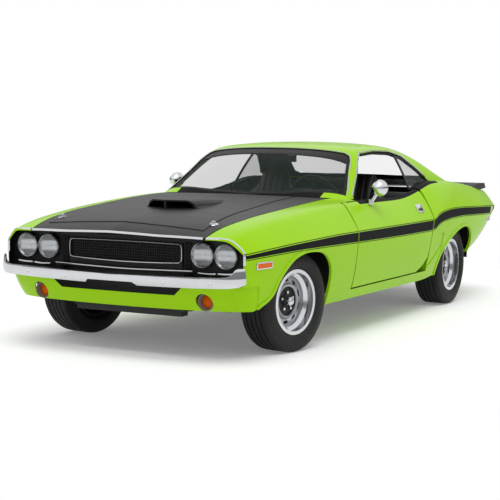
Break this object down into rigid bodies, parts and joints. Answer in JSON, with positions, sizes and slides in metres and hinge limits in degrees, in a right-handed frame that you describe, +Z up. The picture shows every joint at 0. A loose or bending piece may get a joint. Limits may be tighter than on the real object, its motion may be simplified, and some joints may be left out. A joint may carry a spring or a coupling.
{
  "type": "two-door hardtop muscle car",
  "caption": "Two-door hardtop muscle car with hinged doors, hood and deck lid, steered front wheels and turning wheels.",
  "frame": {"origin": "middle of the car's length and width, on the ground", "axes": "+X to the car's left, +Y to the rear, +Z up"},
  "size_m": [1.926, 4.8356, 1.2967],
  "materials": {
    "body_paint": "gloss",
    "black_paint": "satin",
    "chassis_black": "satin",
    "chrome": "polished",
    "wheel_silver": "satin",
    "tyre": "matte",
    "glass": "gloss",
    "lamp_glass": "gloss",
    "amber": "gloss",
    "red": "gloss",
    "seat_vinyl": "satin",
    "interior_black": "matte",
    "cast_metal": "matte",
    "bare_steel": "satin"
  },
  "bodies": {
    "body": {"floor_pan": "chassis_black", "front_structure": "chassis_black", "roof": "body_paint", "quarter_left": "body_paint", "quarter_right": "body_paint", "fender_left": "body_paint", "fender_right": "body_paint", "tail_panel": "black_paint", "front_valance": "body_paint", "front_bumper": "chrome", "rear_bumper": "chrome", "grille": "black_paint", "headlamps": "lamp_glass", "amber_lamps": "amber", "red_lamps": "red", "fixed_glass": "glass", "dashboard": "interior_black", "front_seats": "seat_vinyl", "rear_seat": "seat_vinyl", "engine": "cast_metal", "driveline": "cast_metal", "rear_axle": "cast_metal", "front_suspension": "cast_metal", "exhaust": "bare_steel", "fuel_tank": "bare_steel", "interior_mirror": "interior_black", "spoiler_ends": "black_paint"},
    "hood_lid": {"hood": "black_paint", "hood_scoop": "black_paint"},
    "rear_deck": {"deck_lid": "black_paint"},
    "left_door": {"door_left": "body_paint", "mirror_left": "chrome"},
    "right_door": {"door_right": "body_paint", "mirror_right": "chrome"},
    "driver_wheel": {"steering_wheel": "interior_black"},
    "left_steering": {"knuckle_left": "cast_metal"},
    "right_steering": {"knuckle_right": "cast_metal"},
    "front_left_wheel": {"rim_front_left": "wheel_silver", "tyre_front_left": "tyre"},
    "front_right_wheel": {"rim_front_right": "wheel_silver", "tyre_front_right": "tyre"},
    "rear_left_wheel": {"rim_rear_left": "wheel_silver", "tyre_rear_left": "tyre"},
    "rear_right_wheel": {"rim_rear_right": "wheel_silver", "tyre_rear_right": "tyre"}
  },
  "joints": [
    {"name": "left_door_hinge", "type": "hinge", "parent": "body", "child": "left_door", "pos_m": [0.925, -0.7815, 0.6], "axis": [0, 0, -1], "range_deg": [0, 65]},
    {"name": "right_door_hinge", "type": "hinge", "parent": "body", "child": "right_door", "pos_m": [-0.925, -0.7815, 0.6], "axis": [0, 0, 1], "range_deg": [0, 65]},
    {"name": "hood_hinge", "type": "hinge", "parent": "body", "child": "hood_lid", "pos_m": [0, -0.6635, 0.872], "axis": [-1, 0, 0], "range_deg": [0, 50]},
    {"name": "deck_hinge", "type": "hinge", "parent": "body", "child": "rear_deck", "pos_m": [0, 1.4515, 1.008], "axis": [1, 0, 0], "range_deg": [0, 55]},
    {"name": "left_steer", "type": "hinge", "parent": "body", "child": "left_steering", "pos_m": [0.69, -1.5515, 0.318], "axis": [0, 0, 1], "range_deg": [-24.3, 45.7]},
    {"name": "right_steer", "type": "hinge", "parent": "body", "child": "right_steering", "pos_m": [-0.69, -1.5515, 0.318], "axis": [0, 0, 1], "range_deg": [-24.3, 45.7]},
    {"name": "driver_wheel_turn", "type": "hinge", "parent": "body", "child": "driver_wheel", "pos_m": [0.37, -0.2895, 0.88], "axis": [0, 0.9455, 0.3256], "range_deg": [-392.8, 735.2]},
    {"name": "front_left_spin", "type": "hinge", "parent": "left_steering", "child": "front_left_wheel", "pos_m": [0.75682, -1.56413, 0.318], "axis": [0.9826, -0.1857, 0], "continuous": true},
    {"name": "rear_left_spin", "type": "hinge", "parent": "body", "child": "rear_left_wheel", "pos_m": [0.771, 1.2425, 0.318], "axis": [1, 0, 0], "continuous": true},
    {"name": "front_right_spin", "type": "hinge", "parent": "right_steering", "child": "front_right_wheel", "pos_m": [-0.75682, -1.53887, 0.318], "axis": [0.9826, -0.1857, 0], "continuous": true},
    {"name": "rear_right_spin", "type": "hinge", "parent": "body", "child": "rear_right_wheel", "pos_m": [-0.771, 1.2425, 0.318], "axis": [1, 0, 0], "continuous": true}
  ],
  "couplings": [
    {"joint": "right_steer", "follows": "left_steer", "ratio": 1},
    {"joint": "driver_wheel_turn", "follows": "left_steer", "ratio": 16}
  ]
}
